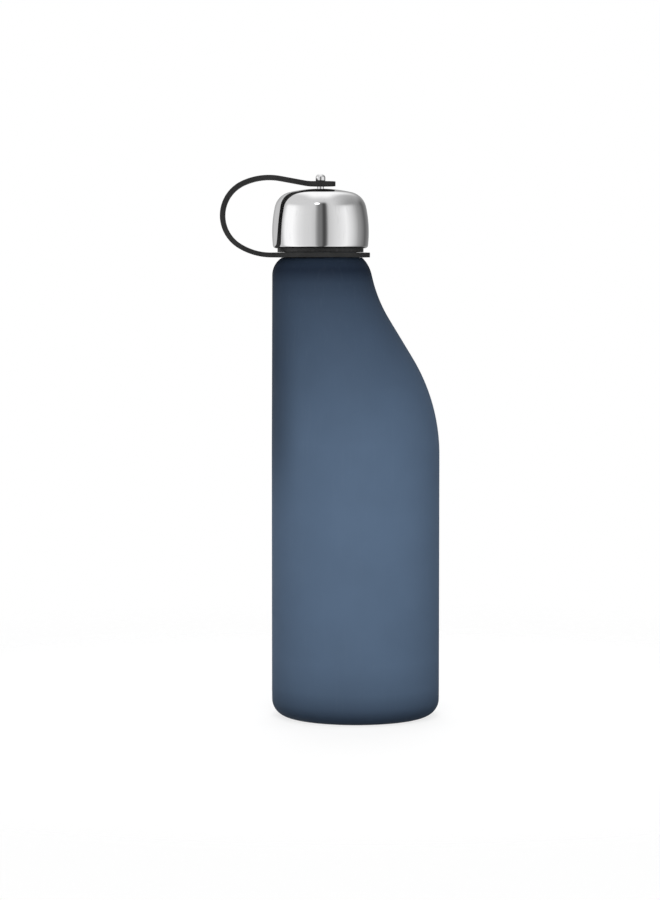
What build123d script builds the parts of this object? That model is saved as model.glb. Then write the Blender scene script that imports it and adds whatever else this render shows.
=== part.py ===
"""A half-litre drinking bottle with an off-centre neck, a domed screw lid and a strap.

Millimetres, +Z up.  The origin is the middle of the foot, on the axis of the round body.
The neck, the lid and the strap's ring stand on a second upright axis at neck_x.  One side
of the body runs straight up to the neck, and the other slopes in to it over the shoulder.
"""

import os
from math import atan2, cos, radians, sin, sqrt, tan

from build123d import *

# ---------------------------------------------------------------- driving dimensions
# Body
body_radius = 35.0
body_height = 191.6  # up to the ledge that the strap's ring lies on
wall = 1.8
foot_radius = 24.0  # inner edge of the ring that the bottle stands on
push_up = 4.0  # height of the hollow under the base
base_corner = 7.0

# Shoulder
shoulder_length = 82.2  # from the start of the slope up to the ledge
slope_run = 18.9  # straight stretch between the slope's two arcs
bulge_share = 0.57  # the lower, outward arc's share of the two radii
throat_rise = 5.1  # the upper arc would stand upright this far above the ledge
throat_step = 5.0  # and this far outside the neck
lean = 0.34  # the straight side leans in by this much
edge_depth = 7.2  # the rounded top edge starts this far below the ledge
edge_straight = 8.5  # rounding of the top edge on the straight side
edge_sloping = 10.4  # and on the sloping side
shoulder_steps = 12
edge_steps = 5

# Neck
neck_radius = 15.0
neck_wall = 2.0
neck_length = 22.0
rim_round = 0.7

# Thread
thread_lead = 8.0
thread_starts = 2
thread_turns = 1.0
thread_depth = 1.2
thread_base = 2.0
thread_crest = 1.0
thread_rise = 6.9  # lowest point of the thread's middle line above the ledge
thread_root = 0.3  # how deep each ridge is rooted in its wall
thread_clearance = 0.4  # between a crest and the wall it faces

# Lid
lid_gap = 0.2  # skirt's lower edge above the strap's ring
skirt_wall = 1.3
skirt_show = 1.6  # height of the skirt below the dome
dome_step = 2.2  # from the skirt out to the dome's widest place
dome_widest = 6.6  # height of the widest place above the dome's edge
dome_side_radius = 50.0
crown_radius = 58.0
dome_corner = 8.0
dome_roll = 1.3  # rounding of the rolled-in lower edge
dome_wall = 0.8
dome_fit = 0.1
roll_clearance = 0.3
seal_thickness = 1.4
seal_width = 4.2
seal_gap = 0.05
ceiling = 1.6
attic = 1.12  # room between the ceiling and the crown, above the edge of the seal

# Knob, a swivel stud in the top of the dome
stem_radius = 1.45
stem_show = 1.0  # stem between the dome and the strap
groove_depth = 0.3
head_step = 0.6
head_height = 2.9
head_round = 1.5
head_edge = 0.4
bush_gap = 0.05  # around the stem
bush_wall = 0.8
bush_fit = 0.02
flange_width = 1.1
flange_thickness = 0.45
washer_width = 1.6
washer_thickness = 0.35
clip_thickness = 0.5
clip_width = 1.5
clip_bite = 0.4
clip_fit = 0.04
clip_mouth = 1.6
stack_gap = 0.05  # between the pieces stacked on the stem
stud_tail = 0.5  # stem below the clip

# Strap, its route given as runs and tangent arcs of its middle line
strap_thickness = 2.0
strap_width = 9.0
ring_width = 5.3
ring_gap = 0.3  # around the neck
ring_lift = 0.1  # above the ledge
ring_flare = 6.0  # where the band leaves the ring
rise_inset = 0.2  # the strap starts to rise this far inside the ring's edge
rise_radius = 25.3
rise_turn = 31.6
loop_turn = 123.9
arch_rise = 2.6  # top of the strap's arch above its eye
arch_radius = 25.8
dip_turn = 10.4  # the strap comes down to its eye at this angle
dip_radius = 20.0
eye_radius = 6.25
eye_gap = 0.1  # around the knob's groove
eye_play = 0.05  # between the eye and the knob's head and collar
eye_flare = 8.0


def crown_sag(radius):
    """How far the dome's crown has come down at a distance from its axis."""
    return crown_radius - sqrt(crown_radius**2 - radius**2)


# ---------------------------------------------------------------- worked out from those
ledge_z = body_height
shoulder_z = ledge_z - shoulder_length
edge_z = ledge_z - edge_depth
throat_z = ledge_z + throat_rise
rim_z = ledge_z + neck_length
neck_bore = neck_radius - neck_wall
throat_radius = neck_radius + throat_step
neck_x = -(body_radius - throat_radius - lean)
neck_axis = Axis((neck_x, 0, 0), (0, 0, 1))
neck_section = Plane(origin=(neck_x, 0, 0), x_dir=(1, 0, 0), z_dir=(0, -1, 0))

# The slope's two arcs and the run between them, tangent to each other and upright at both ends
slope_in = body_radius - (neck_x + throat_radius)
slope_up = throat_z - shoulder_z
both_radii = (slope_in**2 + slope_up**2 - slope_run**2) / (2 * slope_in)
bulge_radius = both_radii * bulge_share
hollow_radius = both_radii - bulge_radius
slope_angle = atan2(slope_up, both_radii - slope_in) - atan2(slope_run, both_radii)

strap_bottom = ledge_z + ring_lift
strap_top = strap_bottom + strap_thickness
ring_bore = neck_radius + ring_gap
ring_radius = ring_bore + ring_width

insert_bore = neck_radius + thread_depth + thread_clearance
skirt_radius = insert_bore + skirt_wall
insert_bottom = strap_top + lid_gap
seal_bottom = rim_z + seal_gap
seal_top = seal_bottom + seal_thickness
insert_top = seal_top + ceiling
dome_radius = skirt_radius + dome_step
dome_bottom = insert_bottom + skirt_show
dome_top = insert_top + attic + crown_sag(insert_bore)

groove_radius = stem_radius - groove_depth
head_radius = stem_radius + head_step
bush_bore = stem_radius + bush_gap
bush_radius = bush_bore + bush_wall
flange_radius = bush_radius + flange_width
washer_radius = bush_bore + washer_width
clip_groove = stem_radius - clip_bite
clip_radius = clip_groove + clip_width
eye_bottom = dome_top + stem_show
eye_top = eye_bottom + strap_thickness
head_bottom = eye_top + eye_play

# The loop's radius brings the top of the arch to its height above the eye
rise_angle = radians(rise_turn)
arch_angle = radians(180 - rise_turn - loop_turn)
loop_height = eye_bottom + arch_rise - strap_bottom
loop_height -= rise_radius * (1 - cos(rise_angle)) + arch_radius * (1 - cos(arch_angle))
loop_radius = loop_height / (cos(rise_angle) + cos(arch_angle))


def sloping_side(height):
    """Distance of the sloping side from the body's axis at a height, before the top edge."""
    bulge_end = shoulder_z + bulge_radius * sin(slope_angle)
    hollow_start = throat_z - hollow_radius * sin(slope_angle)
    if height <= shoulder_z:
        return body_radius
    if height <= bulge_end:
        return body_radius - bulge_radius + sqrt(bulge_radius**2 - (height - shoulder_z) ** 2)
    if height >= hollow_start:
        middle = neck_x + throat_radius + hollow_radius
        return middle - sqrt(hollow_radius**2 - (throat_z - height) ** 2)
    run_start = body_radius - bulge_radius * (1 - cos(slope_angle))
    return run_start - (height - bulge_end) * tan(slope_angle)


def straight_side(height):
    """Distance of the straight side from the body's axis at a height, before the top edge."""
    share = (height - shoulder_z) / (throat_z - shoulder_z)
    return body_radius - lean * share


def rounded_in(radius, height):
    """How far a rounding that starts at edge_z has come in at a height."""
    return radius - sqrt(radius**2 - (height - edge_z) ** 2)


def shoulder_circle(height, inset):
    """Middle and radius of the bottle's round section at a height, shrunk by inset."""
    right = sloping_side(height)
    left = straight_side(height)
    if height > edge_z:
        right -= rounded_in(edge_sloping - inset, height)
        left -= rounded_in(edge_straight - inset, height)
    return (right - left) / 2, (right + left) / 2 - inset


def even_steps(start, end, count):
    """Count + 1 values from start to end."""
    return [start + (end - start) * step / count for step in range(count + 1)]


def bottle_shape(inset, top):
    """The bottle below its neck as a full solid, shrunk evenly by inset."""
    with BuildPart() as shape:
        with BuildSketch(Plane.XZ) as base_section:
            with BuildLine():
                arch_end = foot_radius - inset
                arch_mid = (arch_end / 2, inset + push_up * 3 / 4)
                ThreePointArc((0, push_up + inset), arch_mid, (arch_end, inset))
                Line((arch_end, inset), (body_radius - inset, inset))
                Line((body_radius - inset, inset), (body_radius - inset, shoulder_z))
                Line((body_radius - inset, shoulder_z), (0, shoulder_z))
                Line((0, shoulder_z), (0, push_up + inset))
            make_face()
            outer_corner = base_section.vertices().group_by(Axis.X)[-1].sort_by(Axis.Y)[0]
            fillet(outer_corner, base_corner - inset)
        revolve(axis=Axis.Z)
        for levels in (
            even_steps(shoulder_z, edge_z, shoulder_steps),
            even_steps(edge_z, top, edge_steps),
        ):
            for height in levels:
                middle, radius = shoulder_circle(height, inset)
                with BuildSketch(Plane((middle, 0, height))):
                    Circle(radius)
            loft()
    return shape.part


def thread_ridges(wall_radius, depth, turn):
    """The thread's ridges on a wall, standing out for a positive depth and in for a negative."""
    start_z = ledge_z + thread_rise
    outward = 1 if depth > 0 else -1
    with BuildPart() as ridges:
        with BuildLine() as middle_line:
            Helix(
                pitch=thread_lead,
                height=thread_lead * thread_turns,
                radius=wall_radius,
                center=(neck_x, 0, start_z),
            )
        path = middle_line.line
        with BuildSketch(Plane(origin=path @ 0, x_dir=(1, 0, 0), z_dir=path % 0)):
            with BuildLine():
                Polyline(
                    (-outward * thread_root, -thread_base / 2),
                    (depth, -thread_crest / 2),
                    (depth, thread_crest / 2),
                    (-outward * thread_root, thread_base / 2),
                    close=True,
                )
            make_face()
        sweep(path=path, is_frenet=True)
    first = ridges.part.rotate(neck_axis, turn)
    return [first.rotate(neck_axis, 360 / thread_starts * start) for start in range(thread_starts)]


def bar(inner, outer, low, high, mode=Mode.ADD):
    """A rectangle in a half section, between two radii and two heights."""
    with Locations((inner, low)):
        Rectangle(outer - inner, high - low, align=(Align.MIN, Align.MIN), mode=mode)


def dome_half(inset):
    """Half section of the lid's dome about the neck's axis, shrunk evenly by inset."""
    with BuildSketch() as half:
        with Locations((0, dome_top - crown_radius)):
            Circle(crown_radius - inset)
        with Locations((dome_radius - dome_side_radius, dome_bottom + dome_widest)):
            Circle(dome_side_radius - inset, mode=Mode.INTERSECT)
        bar(0, dome_side_radius, dome_bottom + inset, dome_top, Mode.INTERSECT)
        low = half.vertices().group_by(Axis.Y)[0].sort_by(Axis.X)[-1]
        fillet(low, dome_roll - inset)
        high = half.vertices().filter_by(lambda v: v.X > dome_radius / 2).sort_by(Axis.Y)[-1]
        fillet(high, dome_corner - inset)
    return half.sketch_local


def ring_piece(inner, outer, low, high):
    """A flat ring about the neck's axis."""
    with BuildSketch(Plane((neck_x, 0, low))) as section:
        Circle(outer)
        Circle(inner, mode=Mode.SUBTRACT)
    extrude(section.sketch, amount=high - low)


def loop_route():
    """The strap's middle line from the neck's ring to the top of its arch."""
    level = strap_bottom + strap_thickness / 2
    start = (neck_x - ring_radius + rise_inset, level)
    with BuildLine() as route:
        Line((neck_x - (ring_radius + ring_bore) / 2, level), start)
        rise = JernArc(start, (-1, 0), rise_radius, -rise_turn)
        loop = JernArc(rise @ 1, rise % 1, loop_radius, -loop_turn)
        JernArc(loop @ 1, loop % 1, arch_radius, rise_turn + loop_turn - 180)
    return route.line


def dip_route(arch_top):
    """The strap's middle line from the top of its arch down to the eye."""
    level = eye_bottom + strap_thickness / 2
    dip = radians(dip_turn)
    with BuildLine() as route:
        arch = JernArc(arch_top, (1, 0), arch_radius, -dip_turn)
        drop = (arch @ 1).Y - level - dip_radius * (1 - cos(dip))
        run = Line(arch @ 1, (arch @ 1) + (arch % 1) * (drop / sin(dip)))
        flat = JernArc(run @ 1, run % 1, dip_radius, dip_turn)
        Line(flat @ 1, (neck_x, level))
    return route.line


def strap_part(route, end_radius, end_bottom, hole_radius, flare):
    """A flat round end with a hole, and the band that leaves it along a route."""
    with BuildPart() as strap:
        with BuildSketch(Plane((neck_x, 0, end_bottom))):
            Circle(end_radius)
        extrude(amount=strap_thickness)
        with BuildSketch(Plane.XZ):
            trace(route, strap_thickness)
        extrude(amount=end_radius, both=True)
        with BuildSketch() as outline:
            with Locations((neck_x, 0)):
                Circle(end_radius)
                Rectangle(body_radius * 2, strap_width, align=(Align.MAX, Align.CENTER))
            inner_corners = outline.vertices().filter_by(
                lambda v: neck_x - end_radius < v.X < neck_x
            )
            fillet(inner_corners, flare)
            with Locations((neck_x, 0)):
                Circle(hole_radius, mode=Mode.SUBTRACT)
        extrude(amount=eye_top + body_radius, mode=Mode.INTERSECT)
    return strap


def write(piece, name):
    """Label a finished piece and write it as a STEP file."""
    piece.part.label = name
    export_step(piece.part, f"parts/{name}.step")


os.makedirs("parts", exist_ok=True)

# ---------------------------------------------------------------- bottle
with BuildPart() as bottle_body:
    add(bottle_shape(0, ledge_z))
    with BuildSketch(Plane((neck_x, 0, ledge_z - wall / 2))):
        Circle(neck_radius)
    extrude(amount=neck_length + wall / 2)
    fillet(bottle_body.edges().group_by(Axis.Z)[-1], rim_round)
    add(bottle_shape(wall, ledge_z - wall / 2), mode=Mode.SUBTRACT)
    with BuildSketch(Plane((neck_x, 0, ledge_z - wall))):
        Circle(neck_bore)
    extrude(amount=neck_length + wall, mode=Mode.SUBTRACT)
    add(thread_ridges(neck_radius, thread_depth, 0))
write(bottle_body, "bottle_body")

# ---------------------------------------------------------------- lid
with BuildPart() as lid_shell:
    with BuildSketch(neck_section):
        add(dome_half(0))
        add(dome_half(dome_wall), mode=Mode.SUBTRACT)
        opening = skirt_radius + roll_clearance
        bar(0, opening, dome_bottom, dome_bottom + dome_roll, Mode.SUBTRACT)
        bar(0, bush_radius, dome_top - dome_roll, dome_top, Mode.SUBTRACT)
    revolve(axis=neck_axis)
write(lid_shell, "lid_shell")

with BuildPart() as lid_insert:
    with BuildSketch(neck_section):
        add(dome_half(dome_wall + dome_fit))
        bar(0, dome_radius, insert_top, dome_top, Mode.SUBTRACT)
        bar(0, skirt_radius, insert_bottom, dome_bottom + dome_roll)
        bar(0, insert_bore, insert_bottom, seal_top, Mode.SUBTRACT)
    revolve(axis=neck_axis)
    add(thread_ridges(insert_bore, -thread_depth, 180 / thread_starts))
write(lid_insert, "lid_insert")

with BuildPart() as lid_seal:
    ring_piece(insert_bore - seal_width, insert_bore - seal_gap, seal_bottom, seal_top)
write(lid_seal, "lid_seal")

# ---------------------------------------------------------------- knob and what holds it
flange_top = dome_top - dome_wall - crown_sag(flange_radius)
flange_bottom = flange_top - flange_thickness
with BuildPart() as knob_bush:
    with BuildSketch(neck_section):
        bush_top = dome_top - crown_sag(bush_radius)
        bar(bush_bore, bush_radius - bush_fit, flange_bottom, bush_top)
        bar(bush_bore, flange_radius, flange_bottom, flange_top)
    revolve(axis=neck_axis)
write(knob_bush, "knob_bush")

washer_top = flange_bottom - stack_gap
washer_bottom = washer_top - washer_thickness
with BuildPart() as knob_washer:
    ring_piece(bush_bore, washer_radius, washer_bottom, washer_top)
write(knob_washer, "knob_washer")

clip_top = washer_bottom - stack_gap
clip_bottom = clip_top - clip_thickness
with BuildPart() as knob_clip:
    with BuildSketch(Plane((neck_x, 0, clip_bottom))):
        Circle(clip_radius)
        Circle(clip_groove + clip_fit, mode=Mode.SUBTRACT)
        with Locations((0, -clip_radius / 2)):
            Rectangle(clip_mouth, clip_radius, mode=Mode.SUBTRACT)
    extrude(amount=clip_thickness)
write(knob_clip, "knob_clip")

with BuildPart() as knob:
    with BuildSketch(neck_section) as knob_half:
        bar(0, head_radius, head_bottom, head_bottom + head_height)
        fillet(knob_half.vertices().sort_by(Axis.X)[-2:].sort_by(Axis.Y)[-1], head_round)
        fillet(knob_half.vertices().group_by(Axis.Y)[0].sort_by(Axis.X)[-1], head_edge)
        bar(0, groove_radius, eye_bottom - eye_play, head_bottom)
        bar(0, stem_radius, clip_bottom - stud_tail, eye_bottom - eye_play)
        bar(clip_groove, stem_radius, clip_bottom, clip_top, Mode.SUBTRACT)
    revolve(axis=neck_axis)
write(knob, "knob")

# ---------------------------------------------------------------- strap
loop_line = loop_route()
strap_loop = strap_part(loop_line, ring_radius, strap_bottom, ring_bore, ring_flare)
write(strap_loop, "strap_loop")

dip_line = dip_route(loop_line @ 1)
strap_eye = strap_part(dip_line, eye_radius, eye_bottom, groove_radius + eye_gap, eye_flare)
write(strap_eye, "strap_eye")

strap_length = sum(edge.length for edge in loop_line.edges() + dip_line.edges())
print(f"strap's middle line from ring to eye {strap_length:.1f} mm")
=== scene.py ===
"""Half-litre drinking bottle: frosted blue body, polished domed lid, charcoal silicone strap.

Metres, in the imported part's own frame: +Z up, the origin in the middle of the foot.  The neck,
the lid and the strap's ring stand on a second upright axis, NECK_X from the body's own axis.
"""

from math import acos, atan2, cos, hypot, pi, radians, sin, sqrt, tan

import bmesh
import bpy
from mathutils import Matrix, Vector


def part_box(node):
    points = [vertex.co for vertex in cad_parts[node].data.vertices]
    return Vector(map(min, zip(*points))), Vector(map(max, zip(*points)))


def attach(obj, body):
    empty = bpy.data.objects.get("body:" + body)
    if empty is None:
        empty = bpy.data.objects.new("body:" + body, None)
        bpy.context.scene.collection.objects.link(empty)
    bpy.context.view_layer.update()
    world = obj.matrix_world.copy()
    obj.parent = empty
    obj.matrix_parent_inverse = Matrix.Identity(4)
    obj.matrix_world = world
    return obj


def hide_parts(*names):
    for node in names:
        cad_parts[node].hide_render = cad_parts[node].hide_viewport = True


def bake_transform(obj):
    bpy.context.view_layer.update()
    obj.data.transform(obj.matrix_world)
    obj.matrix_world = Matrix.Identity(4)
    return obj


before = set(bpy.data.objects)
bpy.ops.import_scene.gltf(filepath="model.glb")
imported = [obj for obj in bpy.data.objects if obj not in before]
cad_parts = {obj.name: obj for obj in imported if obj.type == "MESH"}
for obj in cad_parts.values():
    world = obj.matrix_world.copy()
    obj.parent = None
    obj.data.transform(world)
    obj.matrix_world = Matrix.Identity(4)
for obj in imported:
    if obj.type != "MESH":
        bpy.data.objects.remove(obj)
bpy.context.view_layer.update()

MM = 0.001

# ---------------------------------------------------------------- places read from the part
BODY_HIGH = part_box("bottle_body")[1]
SHELL_LOW, SHELL_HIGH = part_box("lid_shell")
KNOB_LOW, KNOB_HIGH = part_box("knob")
LOOP_LOW, LOOP_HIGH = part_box("strap_loop")
EYE_LOW, EYE_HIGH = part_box("strap_eye")
NECK_X = (SHELL_LOW.x + SHELL_HIGH.x) / 2

# ---------------------------------------------------------------- shape of the bottle
BODY_RADIUS = BODY_HIGH.x
WALL = 1.8 * MM
RING_LIFT = 0.1 * MM
LEDGE_Z = LOOP_LOW.z - RING_LIFT
RIM_Z = BODY_HIGH.z
FOOT_RADIUS = 24.0 * MM
PUSH_UP = 4.0 * MM
BASE_CORNER = 7.0 * MM
SHOULDER_Z = LEDGE_Z - 82.2 * MM
SLOPE_RUN = 18.9 * MM
BULGE_SHARE = 0.57
LEAN = 0.34 * MM
THROAT_Z = LEDGE_Z + 5.1 * MM
THROAT_RADIUS = BODY_RADIUS + NECK_X - LEAN
EDGE_Z = LEDGE_Z - 7.2 * MM
EDGE_STRAIGHT = 8.5 * MM
EDGE_SLOPING = 10.4 * MM
NECK_RADIUS = 15.0 * MM
NECK_WALL = 2.0 * MM
NECK_FILLET = 0.3 * MM
RIM_ROUND = 0.7 * MM
THREAD_LEAD = 8.0 * MM
THREAD_STARTS = 2
THREAD_LOW = LEDGE_Z + 6.9 * MM
THREAD_DEPTH = 1.2 * MM
THREAD_BASE = 2.0 * MM
THREAD_CREST = 1.0 * MM
THREAD_FADE = 0.5  # radians over which each ridge runs in and out

# The slope's two arcs, as tangent circles with a straight run between them
SLOPE_IN = BODY_RADIUS - (NECK_X + THROAT_RADIUS)
SLOPE_UP = THROAT_Z - SHOULDER_Z
BOTH_RADII = (SLOPE_IN**2 + SLOPE_UP**2 - SLOPE_RUN**2) / (2 * SLOPE_IN)
BULGE_RADIUS = BOTH_RADII * BULGE_SHARE
HOLLOW_RADIUS = BOTH_RADII - BULGE_RADIUS
SLOPE_ANGLE = atan2(SLOPE_UP, BOTH_RADII - SLOPE_IN) - atan2(SLOPE_RUN, BOTH_RADII)

# Marks of the mould
SEAM_HEIGHT = 0.05 * MM
SEAM_WIDTH = 0.35 * MM
PINCH_HEIGHT = 0.25 * MM
PINCH_REACH = 15.0 * MM
PINCH_FADE = 4.0 * MM
SEAM_FADE = 3.0 * MM
BASE_STEP = 0.35 * MM
BASE_STEP_RADIUS = 14.0 * MM
BASE_STEP_WIDTH = 1.0 * MM
NUB_RADIUS = 1.6 * MM
NUB_HEIGHT = 0.4 * MM
NUB_SLOPE = 0.5 * MM

# ---------------------------------------------------------------- shape of the lid and knob
DOME_RADIUS = (SHELL_HIGH.x - SHELL_LOW.x) / 2
DOME_LOW = SHELL_LOW.z
CROWN_RADIUS = 58.0 * MM
HOLE_RADIUS = 2.3 * MM
DOME_TOP = SHELL_HIGH.z + CROWN_RADIUS - sqrt(CROWN_RADIUS**2 - HOLE_RADIUS**2)
SIDE_RADIUS = 50.0 * MM
WIDEST = 6.6 * MM
DOME_CORNER = 8.0 * MM
ROLL = 1.3 * MM
DOME_WALL = 0.8 * MM
MOUTH_RADIUS = 18.2 * MM
LIP_LIFT = 0.1 * MM

HEAD_RADIUS = (KNOB_HIGH.x - KNOB_LOW.x) / 2
STEM_RADIUS = 1.45 * MM
GROOVE_RADIUS = 1.15 * MM
GROOVE_ROOM = 0.05 * MM  # above and below the strap's eye
STEM_SHOW = 1.05 * MM  # between the dome and the eye

# ---------------------------------------------------------------- shape of the strap
STRAP_THICKNESS = 2.0 * MM
STRAP_HALF = 4.5 * MM
RING_GAP = 0.3 * MM
RING_HOLE = NECK_RADIUS + RING_GAP
RING_RADIUS = (LOOP_HIGH.y - LOOP_LOW.y) / 2
EYE_RADIUS = (EYE_HIGH.y - EYE_LOW.y) / 2
EYE_GAP = 0.1 * MM
EYE_HOLE = GROOVE_RADIUS + EYE_GAP
RING_FLARE = 6.0 * MM
EYE_FLARE = 8.0 * MM
EYE_BOTTOM = SHELL_HIGH.z + STEM_SHOW
HEAD_LOW = EYE_BOTTOM + STRAP_THICKNESS
RISE_INSET = 0.2 * MM  # the strap starts to rise this far inside the ring's edge
STRAP_EDGE = 0.35 * MM

# ---------------------------------------------------------------- fineness of the meshes
WELD = 0.001 * MM
POINT = 1e-7  # a circle smaller than this is one point
BODY_TURN_STEPS = 168
SEAM_OFFSETS = (0.5, 1.0, 2.0)  # extra angles beside the seam, in seam widths
BASE_STEPS = 24
BASE_CORNER_STEPS = 14
BODY_STEPS = 26
SLOPE_STEPS = 40
EDGE_STEPS = 14
THREAD_STEPS = 52
RIM_STEPS = 6
DOME_TURN_STEPS = 216
CROWN_STEPS = 20
DOME_CORNER_STEPS = 20
DOME_SIDE_STEPS = 28
ROLL_STEPS = 8
KNOB_TURN_STEPS = 72
HEAD_STEPS = 12
HEAD_EDGE_STEPS = 6
BAND_COLUMNS = 10
BAND_ROWS = 110
FLARE_ROWS = 6
END_TURN_STEPS = 56
RING_LOOPS = 4
EYE_LOOPS = 5


# ---------------------------------------------------------------- meshes
def smooth_object(name, builder, sharp_angle=radians(40)):
    """Turn a bmesh into a linked object with smooth faces and sharp creases."""
    bmesh.ops.remove_doubles(builder, verts=builder.verts, dist=WELD)
    bmesh.ops.recalc_face_normals(builder, faces=builder.faces)
    mesh = bpy.data.meshes.new(name)
    builder.to_mesh(mesh)
    builder.free()
    mesh.polygons.foreach_set("use_smooth", [True] * len(mesh.polygons))
    mesh.set_sharp_from_angle(angle=sharp_angle)
    piece = bpy.data.objects.new(name, mesh)
    bpy.context.scene.collection.objects.link(piece)
    return piece


def skin_rings(rings, closed):
    """Quads between rings of points; a ring of one point closes an end with triangles."""
    builder = bmesh.new()
    made = [[builder.verts.new(point) for point in ring] for ring in rings]
    pairs = list(zip(made, made[1:]))
    if closed:
        pairs.append((made[-1], made[0]))
    for lower, upper in pairs:
        count = max(len(lower), len(upper))
        for index in range(count):
            after = (index + 1) % count
            corners = [
                lower[index % len(lower)],
                lower[after % len(lower)],
                upper[after % len(upper)],
                upper[index % len(upper)],
            ]
            corners = [v for i, v in enumerate(corners) if v not in corners[:i]]
            if len(corners) > 2:
                builder.faces.new(corners)
    return builder


def lathe(name, profile, segments, closed=True):
    """A piece turned about the neck's axis from (radius, height) points."""
    rings = []
    for radius, height in profile:
        if radius < POINT:
            rings.append([(NECK_X, 0, height)])
            continue
        turns = [2 * pi * step / segments for step in range(segments)]
        rings.append([(NECK_X + radius * cos(a), radius * sin(a), height) for a in turns])
    return smooth_object(name, skin_rings(rings, closed))


def arc_points(middle, radius, start, end, steps):
    """Points on an arc about middle, between two angles in radians."""
    angles = [start + (end - start) * step / steps for step in range(steps + 1)]
    return [(middle[0] + radius * cos(a), middle[1] + radius * sin(a)) for a in angles]


def even(start, end, count):
    """Count + 1 values from start to end."""
    return [start + (end - start) * step / count for step in range(count + 1)]


def smooth_step(value):
    """Ease from 0 to 1, level at both ends."""
    value = min(max(value, 0.0), 1.0)
    return value * value * (3 - 2 * value)


# ---------------------------------------------------------------- bottle
def sloping_side(height):
    """Distance of the sloping side from the body's axis, before the top edge is rounded."""
    bulge_end = SHOULDER_Z + BULGE_RADIUS * sin(SLOPE_ANGLE)
    hollow_start = THROAT_Z - HOLLOW_RADIUS * sin(SLOPE_ANGLE)
    if height <= SHOULDER_Z:
        return BODY_RADIUS
    if height <= bulge_end:
        return BODY_RADIUS - BULGE_RADIUS + sqrt(BULGE_RADIUS**2 - (height - SHOULDER_Z) ** 2)
    if height >= hollow_start:
        middle = NECK_X + THROAT_RADIUS + HOLLOW_RADIUS
        return middle - sqrt(HOLLOW_RADIUS**2 - (THROAT_Z - height) ** 2)
    run_start = BODY_RADIUS - BULGE_RADIUS * (1 - cos(SLOPE_ANGLE))
    return run_start - (height - bulge_end) * tan(SLOPE_ANGLE)


def straight_side(height):
    """Distance of the straight side from the body's axis, before the top edge is rounded."""
    return BODY_RADIUS - LEAN * max(0.0, height - SHOULDER_Z) / (THROAT_Z - SHOULDER_Z)


def rounded_in(radius, height):
    """How far a rounding that starts at EDGE_Z has come in at a height."""
    return radius - sqrt(radius**2 - (height - EDGE_Z) ** 2)


def wall_circle(height, inset):
    """(middle x, height, radius) of the body's round section at a height."""
    right = sloping_side(height)
    left = straight_side(height)
    if height > EDGE_Z:
        right -= rounded_in(EDGE_SLOPING - inset, height)
        left -= rounded_in(EDGE_STRAIGHT - inset, height)
    return (right - left) / 2, height, (right + left) / 2 - inset


def base_circles(inset):
    """Circles from the middle of the base out over the foot and up its rounded corner."""
    foot = FOOT_RADIUS - inset
    circles = []
    for radius in even(0, foot, BASE_STEPS):
        rise = PUSH_UP * (1 - (radius / foot) ** 2)
        if not inset:
            rise += BASE_STEP * smooth_step((BASE_STEP_RADIUS - radius) / BASE_STEP_WIDTH)
            rise -= NUB_HEIGHT * smooth_step((NUB_RADIUS - radius) / NUB_SLOPE)
        circles.append((0, inset + rise, radius))
    corner = BASE_CORNER - inset
    middle = (BODY_RADIUS - BASE_CORNER, BASE_CORNER)
    for radius, height in arc_points(middle, corner, -pi / 2, 0, BASE_CORNER_STEPS):
        circles.append((0, height, radius))
    return circles


def wall_circles(inset, top):
    """Circles up the body's wall from its rounded corner to a height near the ledge."""
    levels = even(BASE_CORNER, SHOULDER_Z, BODY_STEPS)[1:]
    levels += even(SHOULDER_Z, EDGE_Z, SLOPE_STEPS)[1:]
    levels += even(EDGE_Z, top, EDGE_STEPS)[1:]
    return [wall_circle(height, inset) for height in levels]


def thread_lift(angle, height):
    """How far the two-start thread stands out of the neck at an angle and a height."""
    lift = 0.0
    for start in range(THREAD_STARTS):
        along = (angle - 2 * pi * start / THREAD_STARTS) % (2 * pi)
        off = abs(height - THREAD_LOW - THREAD_LEAD * along / (2 * pi))
        flank = (THREAD_BASE / 2 - off) / ((THREAD_BASE - THREAD_CREST) / 2)
        fade = smooth_step(along / THREAD_FADE) * smooth_step((2 * pi - along) / THREAD_FADE)
        lift = max(lift, THREAD_DEPTH * fade * min(max(flank, 0.0), 1.0))
    return lift


def body_angles():
    """Angles round the body: even, with a few more at each side for the mould's seam."""
    angles = set(even(0, 2 * pi, BODY_TURN_STEPS)[:-1])
    for side in (0, pi):
        for offset in SEAM_OFFSETS:
            shift = offset * SEAM_WIDTH / BODY_RADIUS
            angles.update(((side + shift) % (2 * pi), (side - shift) % (2 * pi)))
    return sorted(angles)


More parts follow.
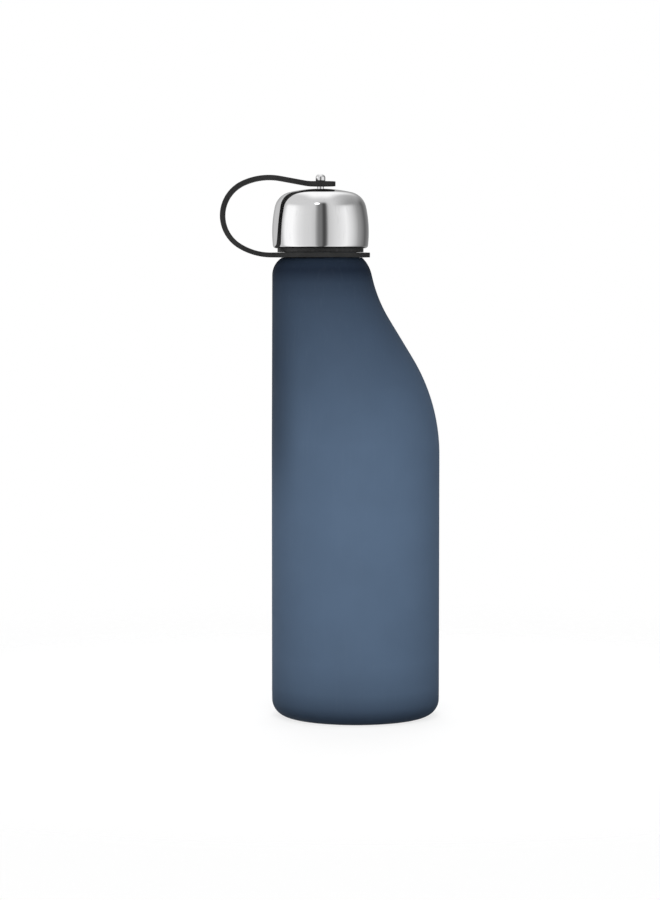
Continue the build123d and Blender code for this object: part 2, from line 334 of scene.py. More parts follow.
def make_bottle():
    """The blow-moulded bottle, one closed skin inside and out, with its thread and seams."""
    angles = body_angles()
    rings = []

    def add_circle(middle_x, height, radius, seam=0.0, pinch=0.0):
        if radius < POINT:
            rings.append([(middle_x, 0, height - pinch)])
            return
        ring = []
        for angle in angles:
            aside = radius * abs(sin(angle))
            lift = seam * smooth_step(1 - aside / (2 * SEAM_WIDTH))
            drop = pinch * smooth_step(1 - aside / (3 * SEAM_WIDTH))
            reach = radius + lift
            ring.append((middle_x + reach * cos(angle), reach * sin(angle), height - drop))
        rings.append(ring)

    for middle_x, height, radius in base_circles(0):
        pinch = PINCH_HEIGHT * smooth_step((PINCH_REACH - radius) / PINCH_FADE)
        add_circle(middle_x, height, radius, pinch=pinch)
    for middle_x, height, radius in wall_circles(0, LEDGE_Z):
        seam = SEAM_HEIGHT * smooth_step((height - BASE_CORNER) / SEAM_FADE)
        add_circle(middle_x, height, radius, seam=seam)

    # Ledge, neck with its thread, and the rounded rim
    add_circle(NECK_X, LEDGE_Z, NECK_RADIUS + NECK_FILLET)
    add_circle(NECK_X, LEDGE_Z + NECK_FILLET, NECK_RADIUS)
    thread_top = THREAD_LOW + THREAD_LEAD + THREAD_BASE
    for height in even(THREAD_LOW - THREAD_BASE, thread_top, THREAD_STEPS):
        reaches = [(a, NECK_RADIUS + thread_lift(a, height)) for a in angles]
        rings.append([(NECK_X + r * cos(a), r * sin(a), height) for a, r in reaches])
    bore = NECK_RADIUS - NECK_WALL
    outer = (NECK_RADIUS - RIM_ROUND, RIM_Z - RIM_ROUND)
    inner = (bore + RIM_ROUND, RIM_Z - RIM_ROUND)
    for radius, height in arc_points(outer, RIM_ROUND, 0, pi / 2, RIM_STEPS):
        add_circle(NECK_X, height, radius)
    for radius, height in arc_points(inner, RIM_ROUND, pi / 2, pi, RIM_STEPS):
        add_circle(NECK_X, height, radius)

    # Back down inside
    inside_top = LEDGE_Z - WALL / 2
    add_circle(NECK_X, inside_top, bore)
    for circle in reversed(wall_circles(WALL, inside_top)):
        add_circle(*circle)
    for circle in reversed(base_circles(WALL)):
        add_circle(*circle)
    return smooth_object("bottle", skin_rings(rings, closed=False))


# ---------------------------------------------------------------- lid and knob
def meeting(first, first_reach, second, second_reach):
    """The right-hand point at given distances from two middles."""
    apart = hypot(second[0] - first[0], second[1] - first[1])
    along = (first_reach**2 - second_reach**2 + apart**2) / (2 * apart)
    aside = sqrt(first_reach**2 - along**2)
    unit = ((second[0] - first[0]) / apart, (second[1] - first[1]) / apart)
    foot = (first[0] + unit[0] * along, first[1] + unit[1] * along)
    sides = [(foot[0] - unit[1] * aside * s, foot[1] + unit[0] * aside * s) for s in (1, -1)]
    return max(sides, key=lambda point: point[0])


def bearing_of(middle, point):
    """Angle of a point seen from a middle."""
    return atan2(point[1] - middle[1], point[0] - middle[0])


def dome_outline(inset):
    """(radius, height) points down the dome from its hole to its rolled edge."""
    crown = (0, DOME_TOP - CROWN_RADIUS)
    side = (DOME_RADIUS - SIDE_RADIUS, DOME_LOW + WIDEST)
    corner = meeting(crown, CROWN_RADIUS - DOME_CORNER, side, SIDE_RADIUS - DOME_CORNER)
    roll_x = side[0] + sqrt((SIDE_RADIUS - ROLL) ** 2 - (side[1] - DOME_LOW - ROLL) ** 2)
    roll = (roll_x, DOME_LOW + ROLL)
    crown_reach = CROWN_RADIUS - inset
    start = acos(HOLE_RADIUS / crown_reach)
    points = arc_points(crown, crown_reach, start, bearing_of(crown, corner), CROWN_STEPS)
    corner_turns = (bearing_of(crown, corner), bearing_of(side, corner))
    points += arc_points(corner, DOME_CORNER - inset, *corner_turns, DOME_CORNER_STEPS)[1:]
    side_turns = (bearing_of(side, corner), bearing_of(side, roll))
    points += arc_points(side, SIDE_RADIUS - inset, *side_turns, DOME_SIDE_STEPS)[1:]
    points += arc_points(roll, ROLL - inset, bearing_of(side, roll), -pi / 2, ROLL_STEPS)[1:]
    return points


def make_dome():
    """The polished dome, a thin closed shell with its lower edge rolled in."""
    outer = dome_outline(0)
    inner = dome_outline(DOME_WALL)
    lip = [(MOUTH_RADIUS, DOME_LOW + LIP_LIFT), (MOUTH_RADIUS, inner[-1][1])]
    return lathe("lid_dome", outer + lip + inner[::-1], DOME_TURN_STEPS)


def make_knob():
    """The polished stud: button head, groove for the strap's eye, stem, clip groove."""
    head_round = 1.5 * MM
    head_edge = 0.4 * MM
    tail = 0.5 * MM
    clip_thickness = 0.5 * MM
    clip_bite = 0.4 * MM
    bevel = 0.15 * MM
    low = KNOB_LOW.z
    clip_low = low + tail
    clip_high = clip_low + clip_thickness
    clip_groove = STEM_RADIUS - clip_bite
    groove_low = EYE_BOTTOM - GROOVE_ROOM
    groove_high = HEAD_LOW + GROOVE_ROOM
    crown = (HEAD_RADIUS - head_round, KNOB_HIGH.z - head_round)
    under = (HEAD_RADIUS - head_edge, groove_high + head_edge)
    profile = [(0, KNOB_HIGH.z)]
    profile += arc_points(crown, head_round, pi / 2, 0, HEAD_STEPS)
    profile += arc_points(under, head_edge, 0, -pi / 2, HEAD_EDGE_STEPS)
    profile += [(GROOVE_RADIUS, groove_high), (GROOVE_RADIUS, groove_low)]
    profile += [(STEM_RADIUS - bevel, groove_low), (STEM_RADIUS, groove_low - bevel)]
    profile += [(STEM_RADIUS, clip_high), (clip_groove, clip_high)]
    profile += [(clip_groove, clip_low), (STEM_RADIUS, clip_low)]
    profile += [(STEM_RADIUS, low + bevel), (STEM_RADIUS - bevel, low), (0, low)]
    return lathe("knob_stud", profile, KNOB_TURN_STEPS, closed=False)


# ---------------------------------------------------------------- strap
def strap_route():
    """Runs (length, 0) and arcs (radius, signed turn) of the strap from ring to eye.

    A positive turn is clockwise as seen from the front.
    """
    rise_radius, rise_turn = 25.3 * MM, radians(31.6)
    loop_turn = radians(123.9)
    arch_radius, arch_rise = 25.8 * MM, 2.6 * MM
    dip_radius, dip_turn = 20.0 * MM, radians(10.4)
    arch_turn = pi - rise_turn - loop_turn
    climb = EYE_BOTTOM + arch_rise - LOOP_LOW.z
    climb -= rise_radius * (1 - cos(rise_turn)) + arch_radius * (1 - cos(arch_turn))
    loop_radius = climb / (cos(rise_turn) + cos(arch_turn))
    drop = arch_rise - (arch_radius + dip_radius) * (1 - cos(dip_turn))
    return [
        (RING_RADIUS - RISE_INSET, 0),
        (rise_radius, rise_turn),
        (loop_radius, loop_turn),
        (arch_radius, arch_turn + dip_turn),
        (drop / sin(dip_turn), 0),
        (dip_radius, -dip_turn),
    ]


def walk_route(distance):
    """(x, z) of the strap's middle line at a distance from the ring's middle.

    Before the start and past the end it goes straight on, so both round ends lie level.
    """
    x, z, heading = NECK_X, LOOP_LOW.z + STRAP_THICKNESS / 2, pi
    left = distance
    for size, turn in strap_route():
        span = size * abs(turn) if turn else size
        part = min(left, span)
        if turn:
            way = 1 if turn > 0 else -1
            swing = way * part / size
            x += way * size * (sin(heading) - sin(heading - swing))
            z -= way * size * (cos(heading) - cos(heading - swing))
            heading -= swing
        else:
            x += part * cos(heading)
            z += part * sin(heading)
        left -= part
        if left <= 0:
            return x, z
    return x + left * cos(heading), z + left * sin(heading)


def strap_length():
    """Length of the middle line from the ring's middle to the eye's middle."""
    curved = sum(size * abs(turn) if turn else size for size, turn in strap_route())
    end_x = walk_route(curved)[0]
    return curved + NECK_X - end_x


def flare_grid(radius, flare, columns, rows):
    """Flat grid from a round end's edge out to the band, between the two flares.

    Its first row is the end's arc and its last is straight, so the bow dies out between.
    """
    middle = (sqrt((radius + flare) ** 2 - (STRAP_HALF + flare) ** 2), STRAP_HALF + flare)
    spread = atan2(middle[1], middle[0])
    grid = []
    for row in range(rows + 1):
        out = row / rows
        swing = (pi / 2 - spread) * out
        edge = (
            middle[0] - flare * cos(spread + swing),
            middle[1] - flare * sin(spread + swing),
        )
        line = []
        for column in range(columns + 1):
            side = 2 * column / columns - 1
            bow = radius * (cos(spread * side) - cos(spread))
            lag = radius * (sin(spread * side) - sin(spread) * side)
            line.append((edge[0] + (1 - out) * bow, edge[1] * side + (1 - out) * lag))
        grid.append(line)
    return grid, spread, middle[0]


def round_end(radius, hole, spread, columns, loops):
    """Flat rings of points from a hole out to a round end's edge, matched to the flare."""
    around = [spread * (2 * step / columns - 1) for step in range(columns)]
    rest = (2 * pi - 2 * spread) / END_TURN_STEPS
    around += [spread + rest * step for step in range(END_TURN_STEPS)]
    rings = []
    for loop in range(loops + 1):
        reach = hole + (radius - hole) * loop / loops
        rings.append([(reach * cos(a), reach * sin(a)) for a in around])
    return rings


def make_strap():
    """The silicone strap: flat ring, band looping over the lid, and the eye, one moulding."""
    columns = BAND_COLUMNS
    total = strap_length()
    builder = bmesh.new()

    def place(along, across):
        x, z = walk_route(along)
        return builder.verts.new((x, across, z))

    def fill(lines, ring=False):
        made = [[place(*point) for point in line] for line in lines]
        for lower, upper in zip(made, made[1:]):
            count = len(lower) if ring else len(lower) - 1
            for index in range(count):
                after = (index + 1) % len(lower)
                builder.faces.new((lower[index], lower[after], upper[after], upper[index]))

    ends = (
        (RING_RADIUS, RING_HOLE, RING_FLARE, RING_LOOPS, 0, 1),
        (EYE_RADIUS, EYE_HOLE, EYE_FLARE, EYE_LOOPS, total, -1),
    )
    band_ends = []
    for radius, hole, flare, loops, origin, way in ends:
        grid, spread, reach = flare_grid(radius, flare, columns, FLARE_ROWS)
        rings = round_end(radius, hole, spread, columns, loops)
        for lines, ring in ((grid, False), (rings, True)):
            fill([[(origin + way * out, aside) for out, aside in line] for line in lines], ring)
        band_ends.append(origin + way * reach)
    width = even(-STRAP_HALF, STRAP_HALF, columns)
    fill([[(along, aside) for aside in width] for along in even(*band_ends, BAND_ROWS)])

    flat = smooth_object("strap_sheet", builder)
    thicken = flat.modifiers.new("thickness", "SOLIDIFY")
    thicken.thickness = STRAP_THICKNESS
    thicken.offset = 0.0
    thicken.use_even_offset = True
    ease = flat.modifiers.new("edges", "BEVEL")
    ease.width = STRAP_EDGE
    ease.segments = 3
    ease.limit_method = "ANGLE"
    ease.angle_limit = radians(50)
    bpy.context.view_layer.update()
    solid = flat.evaluated_get(bpy.context.evaluated_depsgraph_get())
    mesh = bpy.data.meshes.new_from_object(solid)
    mesh.name = "strap"
    mesh.polygons.foreach_set("use_smooth", [True] * len(mesh.polygons))
    mesh.set_sharp_from_angle(angle=radians(60))
    strap = bpy.data.objects.new("strap", mesh)
    bpy.context.scene.collection.objects.link(strap)
    bpy.data.objects.remove(flat)
    return strap


# ---------------------------------------------------------------- shader building
def feed(tree, socket, source):
    """Fill a socket from another socket, or set it to a plain value."""
    if isinstance(source, bpy.types.NodeSocket):
        tree.links.new(source, socket)
    else:
        socket.default_value = source


def math_node(tree, operation, *sources):
    """Result of a maths node fed by sockets or numbers."""
    node = tree.nodes.new("ShaderNodeMath")
    node.operation = operation
    for socket, source in zip(node.inputs, sources):
        feed(tree, socket, source)
    return node.outputs[0]


def ease_node(tree, value, start, end, low=0.0, high=1.0):
    """Value eased from low at start to high at end, and held outside them."""
    node = tree.nodes.new("ShaderNodeMapRange")
    node.interpolation_type = "SMOOTHSTEP"
    for socket, source in zip(node.inputs, (value, start, end, low, high)):
        feed(tree, socket, source)
    return node.outputs[0]


def ramp_node(tree, value, stops):
    """Brightness read off a ramp of (position, brightness) stops."""
    node = tree.nodes.new("ShaderNodeValToRGB")
    elements = node.color_ramp.elements
    elements.remove(elements[1])
    for index, (position, shade) in enumerate(stops):
        element = elements.new(position) if index else elements[0]
        element.position = position
        element.color = (shade, shade, shade, 1)
    tree.links.new(value, node.inputs[0])
    return node.outputs[0]


def mix_node(tree, factor, first, second, blend_type="MIX"):
    """Two colours mixed by a factor."""
    node = tree.nodes.new("ShaderNodeMix")
    node.data_type = "RGBA"
    node.blend_type = blend_type
    for index, source in ((0, factor), (6, first), (7, second)):
        feed(tree, node.inputs[index], source)
    return node.outputs[2]


def noise_node(tree, place, scale, detail=2.0, roughness=0.5, distortion=0.0):
    """Fractal noise from 0 to 1 at a place."""
    node = tree.nodes.new("ShaderNodeTexNoise")
    tree.links.new(place, node.inputs["Vector"])
    for name, source in (
        ("Scale", scale),
        ("Detail", detail),
        ("Roughness", roughness),
        ("Distortion", distortion),
    ):
        feed(tree, node.inputs[name], source)
    return node.outputs["Fac"]


def object_place(tree):
    """Position on the piece, in metres."""
    return tree.nodes.new("ShaderNodeTexCoord").outputs["Object"]


def streak_node(tree, stretch, scale, detail, roughness=0.5, turned=(0, 0, 0)):
    """Noise drawn out into streaks along the axes with the smallest stretch values."""
    lines = tree.nodes.new("ShaderNodeMapping")
    tree.links.new(object_place(tree), lines.inputs["Vector"])
    lines.inputs["Rotation"].default_value = turned
    feed(tree, lines.inputs["Scale"], stretch)
    return noise_node(tree, lines.outputs[0], scale, detail, roughness)


def new_group(name, inputs, outputs):
    """Empty node group with named inputs (name, default) and outputs, and its two ends."""
    group = bpy.data.node_groups.new(name, "ShaderNodeTree")
    for label, default in inputs:
        socket = group.interface.new_socket(label, in_out="INPUT", socket_type="NodeSocketFloat")
        socket.default_value = default
    for label in outputs:
        group.interface.new_socket(label, in_out="OUTPUT", socket_type="NodeSocketFloat")
    return group, group.nodes.new("NodeGroupInput"), group.nodes.new("NodeGroupOutput")


def moulded_grain_group():
    """Fine even grain of a sand-blasted mould, with faint cloudiness in the material."""
    group, given, result = new_group(
        "moulded_grain", [("Grains per metre", 2500.0)], ["Height", "Cloud"]
    )
    place = object_place(group)
    size = given.outputs["Grains per metre"]
    fine = noise_node(group, place, size, detail=3.0, roughness=0.7)
    coarse = noise_node(group, place, math_node(group, "MULTIPLY", size, 0.35), detail=1.0)
    feed(group, result.inputs["Height"], math_node(group, "MULTIPLY_ADD", coarse, 0.5, fine))
    cloud = noise_node(group, place, math_node(group, "MULTIPLY", size, 0.016), detail=4.0)
    feed(group, result.inputs["Cloud"], ease_node(group, cloud, 0.3, 0.7))
    return group


def edge_wear_group():
    """Mask of edges and high spots rubbed by hands and bags, broken up so that it isn't even."""
    group, given, result = new_group(
        "edge_wear", [("Reach", 0.06), ("Patches per metre", 300.0)], ["Worn", "Dirty"]
    )
    geometry = group.nodes.new("ShaderNodeNewGeometry")
    bend = math_node(group, "SUBTRACT", geometry.outputs["Pointiness"], 0.5)
    place = object_place(group)
    patches = noise_node(group, place, given.outputs["Patches per metre"], detail=5.0)
    patches = ease_node(group, patches, 0.35, 0.65)
    start = math_node(group, "MULTIPLY", given.outputs["Reach"], 0.25)
    ridge = ease_node(group, bend, start, given.outputs["Reach"])
    sunk = math_node(group, "MULTIPLY", bend, -1.0)
    hollow = ease_node(group, sunk, start, given.outputs["Reach"])
    feed(group, result.inputs["Worn"], math_node(group, "MULTIPLY", ridge, patches))
    feed(group, result.inputs["Dirty"], math_node(group, "MULTIPLY", hollow, patches))
    return group


def handling_group():
    """Marks of use: soft smears from fingers and short fine scratches in every direction."""
    group, given, result = new_group(
        "handling_marks", [("Smears per metre", 60.0), ("Scratches per metre", 900.0)],
        ["Smear", "Scratch"],
    )
    size = given.outputs["Smears per metre"]
    smear = noise_node(group, object_place(group), size, 5.0, 0.6, 1.2)
    feed(group, result.inputs["Smear"], ease_node(group, smear, 0.42, 0.68))
    drawn_out = (1.0, 1.0, 0.06)
    size = given.outputs["Scratches per metre"]
    scratches = 0.0
    for tilt in ((0.4, 0.2, 0.9), (1.3, 2.0, 0.1), (2.4, 0.9, 1.7)):
        streak = streak_node(group, drawn_out, size, 1.0, 0.4, tilt)
        line = ease_node(group, streak, 0.66, 0.74)
        scratches = math_node(group, "MAXIMUM", scratches, line)
    feed(group, result.inputs["Scratch"], scratches)
    return group


def drawn_lines_group():
    """Fine lines left in steel by polishing or brushing, drawn out where a stretch is small."""
    group, given, result = new_group(
        "drawn_lines",
        [("Lines per metre", 9000.0), ("Stretch x", 0.02), ("Stretch y", 0.02), ("Detail", 2.0)],
        ["Line"],
    )
    stretch = group.nodes.new("ShaderNodeCombineXYZ")
    group.links.new(given.outputs["Stretch x"], stretch.inputs[0])
    group.links.new(given.outputs["Stretch y"], stretch.inputs[1])
    stretch.inputs[2].default_value = 1.0
    size = given.outputs["Lines per metre"]
    line = streak_node(group, stretch.outputs[0], size, given.outputs["Detail"])
    feed(group, result.inputs["Line"], line)
    return group


GRAIN = moulded_grain_group()
WEAR = edge_wear_group()
MARKS = handling_group()
LINES = drawn_lines_group()


def use_group(tree, group, **values):
    """Place a node group in a material with its own values; returns its outputs."""
    node = tree.nodes.new("ShaderNodeGroup")
    node.node_tree = group
    for label, value in values.items():
        node.inputs[label.replace("_", " ")].default_value = value
    return node.outputs


def new_material(name):
    """Material with one Principled shader; returns it, its tree and the shader's inputs."""
    material = bpy.data.materials.new(name)
    material.use_nodes = True
    tree = material.node_tree
    return material, tree, tree.nodes["Principled BSDF"].inputs


def bump_node(tree, height, strength, distance):
    """Normal bent by a height."""
    node = tree.nodes.new("ShaderNodeBump")
    node.inputs["Strength"].default_value = strength
    node.inputs["Distance"].default_value = distance
    tree.links.new(height, node.inputs["Height"])
    return node.outputs[0]


def varied(tree, base, *parts):
    """A value plus several masks, each times its own weight."""
    total = base
    for mask, weight in parts:
        total = math_node(tree, "MULTIPLY_ADD", mask, weight, total)
    return total


# ---------------------------------------------------------------- materials
def frosted_plastic():
    """Frosted blue plastic, darkened by painted shade at the foot, shoulder and neck.

    Only the colour shows this: the wall itself is even.
    """
    material, tree, shader = new_material("frosted_plastic")
    # deep is the colour of the painted shade, clear the plastic's own colour
    deep = (0.0085, 0.0150, 0.0290, 1)
    clear = (0.0945, 0.1440, 0.2230, 1)
    rubbed_blue = (0.32, 0.36, 0.42, 1)
    # Share of the clear colour by height in millimetres.  The low stops are painted shade,
    # and the rise just below the ring is painted light
    painted_shade_ramp = [
        (0.0, 0.27), (5.0, 0.45), (13.0, 0.83), (25.0, 1.0), (60.0, 1.0), (85.0, 0.97),
        (115.0, 0.85), (140.0, 0.60), (161.0, 0.43), (173.5, 0.33), (181.0, 0.21), (186.5, 0.012),
        (189.3, 0.075), (191.2, 0.28), (197.0, 0.20),
    ]
    split = tree.nodes.new("ShaderNodeSeparateXYZ")
    tree.links.new(object_place(tree), split.inputs[0])
    across, _, height = split.outputs
    stops = [(level * MM / RIM_Z, value) for level, value in painted_shade_ramp]
    # thin is the share of the plastic's own colour; the rest is painted shade
    thin = ramp_node(tree, math_node(tree, "DIVIDE", height, RIM_Z), stops)
    # Painted shade on the straight side too, beside the shoulder
    side_start = -22.0 * MM
    side_painted_shade = 0.45
    below = ease_node(tree, height, 75.0 * MM, 125.0 * MM)
    above = ease_node(tree, height, 145.0 * MM, 180.0 * MM, 1.0, 0.3)
    beside = ease_node(tree, across, side_start, -BODY_RADIUS)
    beside = math_node(tree, "MULTIPLY", beside, math_node(tree, "MULTIPLY", below, above))
    thin = math_node(tree, "MULTIPLY", thin, varied(tree, 1.0, (beside, -side_painted_shade)))
    grain = use_group(tree, GRAIN, Grains_per_metre=2600.0)
    marks = use_group(tree, MARKS, Smears_per_metre=45.0, Scratches_per_metre=700.0)
    wear = use_group(tree, WEAR, Reach=0.05, Patches_per_metre=350.0)
    colour = mix_node(tree, thin, deep, clear)
    clouded = varied(tree, 0.97, (grain["Cloud"], 0.06))
    colour = mix_node(tree, 1.0, colour, clouded, "MULTIPLY")
    rubbed = varied(tree, 0.0, (marks["Scratch"], 0.007), (wear["Worn"], 0.02))
    colour = mix_node(tree, rubbed, colour, rubbed_blue)
    tree.links.new(colour, shader["Base Color"])
    rough = varied(
        tree, 0.64, (grain["Cloud"], 0.06), (marks["Smear"], -0.07), (wear["Worn"], -0.15)
    )
    tree.links.new(rough, shader["Roughness"])
    tree.links.new(bump_node(tree, grain["Height"], 0.35, 0.06 * MM), shader["Normal"])
    shader["Specular IOR Level"].default_value = 0.06
    return material


def polished_steel():
    """Mirror-polished stainless steel, with polishing lines round it and light handling marks."""
    material, tree, shader = new_material("polished_steel")
    marks = use_group(tree, MARKS, Smears_per_metre=55.0, Scratches_per_metre=1100.0)
    wear = use_group(tree, WEAR, Reach=0.08, Patches_per_metre=500.0)
    lines = use_group(tree, LINES, Lines_per_metre=9000.0, Stretch_x=0.02, Stretch_y=0.02)
    bright = (0.83, 0.83, 0.835, 1)
    tarnished = (0.70, 0.70, 0.70, 1)
    dull = math_node(tree, "MULTIPLY", varied(tree, marks["Scratch"], (wear["Dirty"], 1.5)), 0.3)
    tree.links.new(mix_node(tree, dull, bright, tarnished), shader["Base Color"])
    rough = varied(
        tree, 0.035, (marks["Smear"], 0.035), (marks["Scratch"], 0.05), (wear["Worn"], 0.05)
    )
    tree.links.new(rough, shader["Roughness"])
    relief = math_node(tree, "MULTIPLY", lines["Line"], 0.35)
    relief = varied(tree, relief, (marks["Scratch"], -0.4))
    tree.links.new(bump_node(tree, relief, 0.05, 0.02 * MM), shader["Normal"])
    shader["Metallic"].default_value = 1.0
    return material


def plain_steel():
    """Unpolished stainless of the washer and clip, brushed one way."""
    material, tree, shader = new_material("spring_steel")
    marks = use_group(tree, MARKS, Smears_per_metre=200.0, Scratches_per_metre=3000.0)
    lines = use_group(
        tree, LINES, Lines_per_metre=12000.0, Stretch_x=0.04, Stretch_y=1.0, Detail=3.0
    )
    brushed = lines["Line"]
    valleys, ridges = (0.40, 0.40, 0.41, 1), (0.52, 0.52, 0.52, 1)
    tree.links.new(mix_node(tree, brushed, valleys, ridges), shader["Base Color"])
    rough = varied(tree, 0.30, (brushed, 0.12), (marks["Smear"], 0.08))
    tree.links.new(rough, shader["Roughness"])
    tree.links.new(bump_node(tree, brushed, 0.2, 0.02 * MM), shader["Normal"])
    shader["Metallic"].default_value = 1.0
    return material


def soft_or_moulded(name, base, dusty, roughness, grains, depth, dust, edges):
    """Matt moulded material: fine grain, dust settled in it, and edges rubbed paler or shinier."""
    material, tree, shader = new_material(name)
    grain = use_group(tree, GRAIN, Grains_per_metre=grains)
    marks = use_group(tree, MARKS, Smears_per_metre=110.0, Scratches_per_metre=1400.0)
    wear = use_group(tree, WEAR, Reach=0.07, Patches_per_metre=600.0)
    settled = varied(tree, math_node(tree, "MULTIPLY", marks["Smear"], dust), (wear["Worn"], edges))
    settled = varied(tree, settled, (marks["Scratch"], 0.4 * dust), (grain["Cloud"], 0.3 * dust))
    tree.links.new(mix_node(tree, settled, (*base, 1), (*dusty, 1)), shader["Base Color"])
    rough = varied(
        tree, roughness, (grain["Cloud"], 0.08), (marks["Smear"], 0.06), (wear["Worn"], -0.08)
    )
    tree.links.new(rough, shader["Roughness"])
    tree.links.new(bump_node(tree, grain["Height"], 0.3, depth), shader["Normal"])
    return material, shader


def strap_silicone():
    """Matt charcoal silicone that holds a little dust."""
    material, shader = soft_or_moulded(
        "strap_silicone", (0.0135, 0.0135, 0.0135), (0.050, 0.050, 0.049),
        0.58, 3800.0, 0.04 * MM, dust=0.16, edges=0.35,
    )
    shader["Specular IOR Level"].default_value = 0.28
    return material


def black_plastic():
    """Satin black moulded plastic of the lid's insert and the knob's bush."""
    material, shader = soft_or_moulded(
        "black_plastic", (0.011, 0.011, 0.011), (0.05, 0.05, 0.05),
        0.38, 3000.0, 0.03 * MM, dust=0.15, edges=0.35,
    )
    shader["Specular IOR Level"].default_value = 0.4
    return material


def seal_silicone():
    """Milky silicone of the lid's seal."""
    material, shader = soft_or_moulded(
        "seal_silicone", (0.72, 0.72, 0.70), (0.60, 0.59, 0.55),
        0.5, 2600.0, 0.03 * MM, dust=0.3, edges=0.1,
    )
    shader["Subsurface Weight"].default_value = 0.3
    shader["Subsurface Radius"].default_value = (1.0, 1.0, 0.9)
    shader["Subsurface Scale"].default_value = 0.6 * MM
    return material


# ---------------------------------------------------------------- camera, light and floor
def add_camera():
    """Long lens just below the lid's foot, looking slightly down at the bottle's middle."""
    distance = 1.2
    eye_height = 0.186
    aim_height = 0.1114
    frame_height = 0.3761
    middle_x = -0.0107
    lens_data = bpy.data.cameras.new("studio_camera")
    camera = bpy.data.objects.new("studio_camera", lens_data)
    bpy.context.scene.collection.objects.link(camera)
    camera.location = (middle_x, -distance, eye_height)
    look = Vector((middle_x, 0, aim_height)) - camera.location
    camera.rotation_euler = look.to_track_quat("-Z", "Y").to_euler()
    lens_data.sensor_width = 36.0
    lens_data.lens = lens_data.sensor_width * look.length / frame_height
    lens_data.clip_start = 0.05
    lens_data.clip_end = 20.0
    bpy.context.scene.camera = camera


def add_studio():
    """Softboxes left and right of the camera, dark gaps between, an overhead strip, white cove.

    Mirror reflections see these.  A ray scattered off a matt surface sees a softer pattern
    instead, set to suit the plastic, and the camera sees plain white behind everything.
    """
    world = bpy.data.worlds.new("studio")
    bpy.context.scene.world = world
    world.use_nodes = True
    tree = world.node_tree
    tree.nodes.clear()
    split = tree.nodes.new("ShaderNodeSeparateXYZ")
    direction = tree.nodes.new("ShaderNodeTexCoord").outputs["Generated"]
    tree.links.new(direction, split.inputs[0])
    aside, deep, up = split.outputs
    toward = math_node(tree, "MULTIPLY", deep, -1.0)
    bearing = math_node(tree, "ARCTAN2", aside, toward)
    share = math_node(tree, "MULTIPLY_ADD", bearing, 1 / (2 * pi), 0.5)

    # Brightness by bearing in degrees from the camera's side, positive to the right
    softboxes = [
        (-180, 0.37), (-160, 0.45), (-146, 0.62), (-104, 0.62), (-95, 1.05), (-90, 1.14),
        (-71, 1.17), (-55, 0.91), (-39, 0.78), (-24, 0.74), (-13.5, 0.64), (-10.5, 0.44),
        (-8, 0.33), (-4, 0.22), (2, 0.20), (4.5, 0.15), (6.5, 0.095), (9, 0.07), (11, 0.08),
        (13.6, 0.13), (16, 0.27), (18.5, 0.50), (21, 0.65), (34, 0.78), (49, 0.89), (66, 1.04),
        (84, 0.77), (105, 0.37), (133, 0.13), (160, 0.28), (180, 0.37),
    ]
    stops = [(0.5 + degrees / 360, value) for degrees, value in softboxes]
    around = ramp_node(tree, share, stops)

    # Grey ceiling above the softboxes, darker to the back right; the dark gap reaches higher
    from_gap = math_node(tree, "ABSOLUTE", math_node(tree, "ADD", aside, -0.1))
    gap = ease_node(tree, from_gap, 0.38, 0.24)
    gap = math_node(tree, "MULTIPLY", gap, ease_node(tree, deep, 0.1, -0.1))
    box_top = math_node(tree, "MULTIPLY_ADD", gap, 0.3, 0.3)
    ceiling_low = math_node(tree, "ADD", box_top, 0.25)
    slant = math_node(tree, "MULTIPLY_ADD", deep, 0.35, aside)
    ceiling = ease_node(tree, slant, 0.15, 1.0, 0.73, 0.33)
    around = mix_node(tree, ease_node(tree, up, box_top, ceiling_low), around, ceiling)

    # Soft panel overhead, a little behind the bottle, and one small lamp
    panel_white, lamp_white = (1.16, 1.16, 1.16, 1), (2.4, 2.4, 2.4, 1)
    panel = ease_node(tree, math_node(tree, "ABSOLUTE", aside), 0.42, 0.12)
    panel = math_node(tree, "MULTIPLY", panel, ease_node(tree, deep, -0.5, 0.25))
    panel = math_node(tree, "MULTIPLY", panel, ease_node(tree, deep, 1.0, 0.66))
    room = mix_node(tree, panel, around, panel_white)
    facing = tree.nodes.new("ShaderNodeVectorMath")
    facing.operation = "DOT_PRODUCT"
    tree.links.new(direction, facing.inputs[0])
    facing.inputs[1].default_value = Vector((-0.125, -0.76, 0.64)).normalized()
    lamp = ease_node(tree, facing.outputs["Value"], cos(radians(7)), cos(radians(4)))
    room = mix_node(tree, lamp, room, lamp_white)

    # Matt surfaces: a level fill, most from the front and the back, least from the corners
    fill, front_light, corner_light = 0.15, 1.88, 0.8
    front = math_node(tree, "POWER", math_node(tree, "COSINE", bearing), 2.0)
    corners = math_node(tree, "COSINE", math_node(tree, "MULTIPLY", bearing, 4.0))
    matt_light = varied(tree, fill, (front, front_light), (corners, corner_light))

    path = tree.nodes.new("ShaderNodeLightPath").outputs
    seen = mix_node(tree, path["Is Diffuse Ray"], room, matt_light)
    seen = mix_node(tree, path["Is Camera Ray"], seen, (1, 1, 1, 1))
    light = tree.nodes.new("ShaderNodeBackground")
    tree.links.new(seen, light.inputs["Color"])
    output = tree.nodes.new("ShaderNodeOutputWorld")
    tree.links.new(light.outputs[0], output.inputs["Surface"])
    bpy.context.scene.view_settings.view_transform = "Standard"


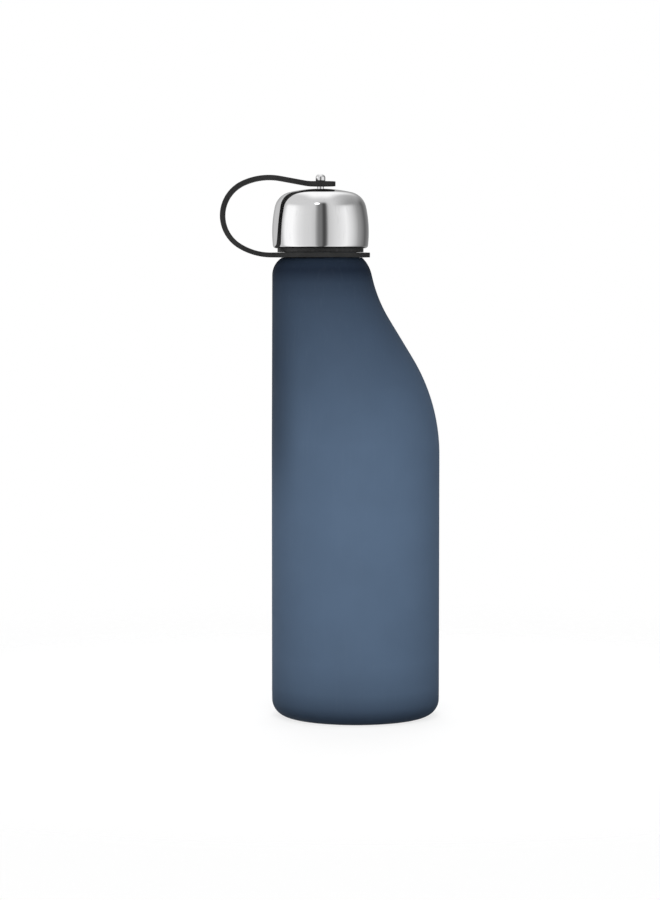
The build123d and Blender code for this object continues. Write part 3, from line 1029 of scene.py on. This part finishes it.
def add_floor():
    """A pale floor that melts into the cove; open under the foot, so that the base is lit.

    It glows a little to the camera, and isn't seen from below or in reflections.
    """
    tucked_in = 0.4 * MM
    inner, fade_start, outer = FOOT_RADIUS - tucked_in, 0.14, 0.42
    pale, glow_level = (0.30, 0.30, 0.30, 1), 0.74
    turns = even(0, 2 * pi, 96)[:-1]
    rings = [[(r * cos(a), r * sin(a), 0) for a in turns] for r in (inner, outer)]
    floor = smooth_object("floor", skin_rings(rings, closed=False))
    if floor.data.polygons[0].normal.z < 0:
        floor.data.flip_normals()
    paint = bpy.data.materials.new("pale_floor")
    paint.use_nodes = True
    tree = paint.node_tree
    tree.nodes.clear()
    card = tree.nodes.new("ShaderNodeBsdfDiffuse")
    card.inputs["Color"].default_value = pale
    glow = tree.nodes.new("ShaderNodeEmission")
    path = tree.nodes.new("ShaderNodeLightPath").outputs
    strength = math_node(tree, "MULTIPLY", path["Is Camera Ray"], glow_level)
    tree.links.new(strength, glow.inputs["Strength"])
    lit = tree.nodes.new("ShaderNodeAddShader")
    tree.links.new(card.outputs[0], lit.inputs[0])
    tree.links.new(glow.outputs[0], lit.inputs[1])
    reach = tree.nodes.new("ShaderNodeVectorMath")
    reach.operation = "LENGTH"
    tree.links.new(object_place(tree), reach.inputs[0])
    faded = ease_node(tree, reach.outputs["Value"], fade_start, outer)
    below = tree.nodes.new("ShaderNodeNewGeometry").outputs["Backfacing"]
    gone = math_node(tree, "MAXIMUM", faded, below)
    gone = math_node(tree, "MAXIMUM", gone, path["Is Glossy Ray"])
    clear = tree.nodes.new("ShaderNodeBsdfTransparent")
    choose = tree.nodes.new("ShaderNodeMixShader")
    tree.links.new(gone, choose.inputs[0])
    tree.links.new(lit.outputs[0], choose.inputs[1])
    tree.links.new(clear.outputs[0], choose.inputs[2])
    output = tree.nodes.new("ShaderNodeOutputMaterial")
    tree.links.new(choose.outputs[0], output.inputs["Surface"])
    floor.data.materials.append(paint)


# ---------------------------------------------------------------- putting it together
def finish_piece(piece, material, nodes):
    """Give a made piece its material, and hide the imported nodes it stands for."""
    piece.data.materials.append(material)
    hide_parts(*nodes)


add_camera()
add_studio()
add_floor()

blue = frosted_plastic()
steel = polished_steel()
black = black_plastic()
spring = plain_steel()

bottle = make_bottle()
finish_piece(bottle, blue, ["bottle_body"])
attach(bottle, "bottle")

dome = make_dome()
finish_piece(dome, steel, ["lid_shell"])
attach(dome, "lid")

knob = make_knob()
finish_piece(knob, steel, ["knob"])
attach(knob, "knob")

strap = make_strap()
finish_piece(strap, strap_silicone(), ["strap_loop", "strap_eye"])
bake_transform(strap)

for node, material in (
    ("lid_insert", black),
    ("knob_bush", black),
    ("lid_seal", seal_silicone()),
    ("knob_washer", spring),
    ("knob_clip", spring),
):
    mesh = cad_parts[node].data
    mesh.materials.clear()
    mesh.materials.append(material)
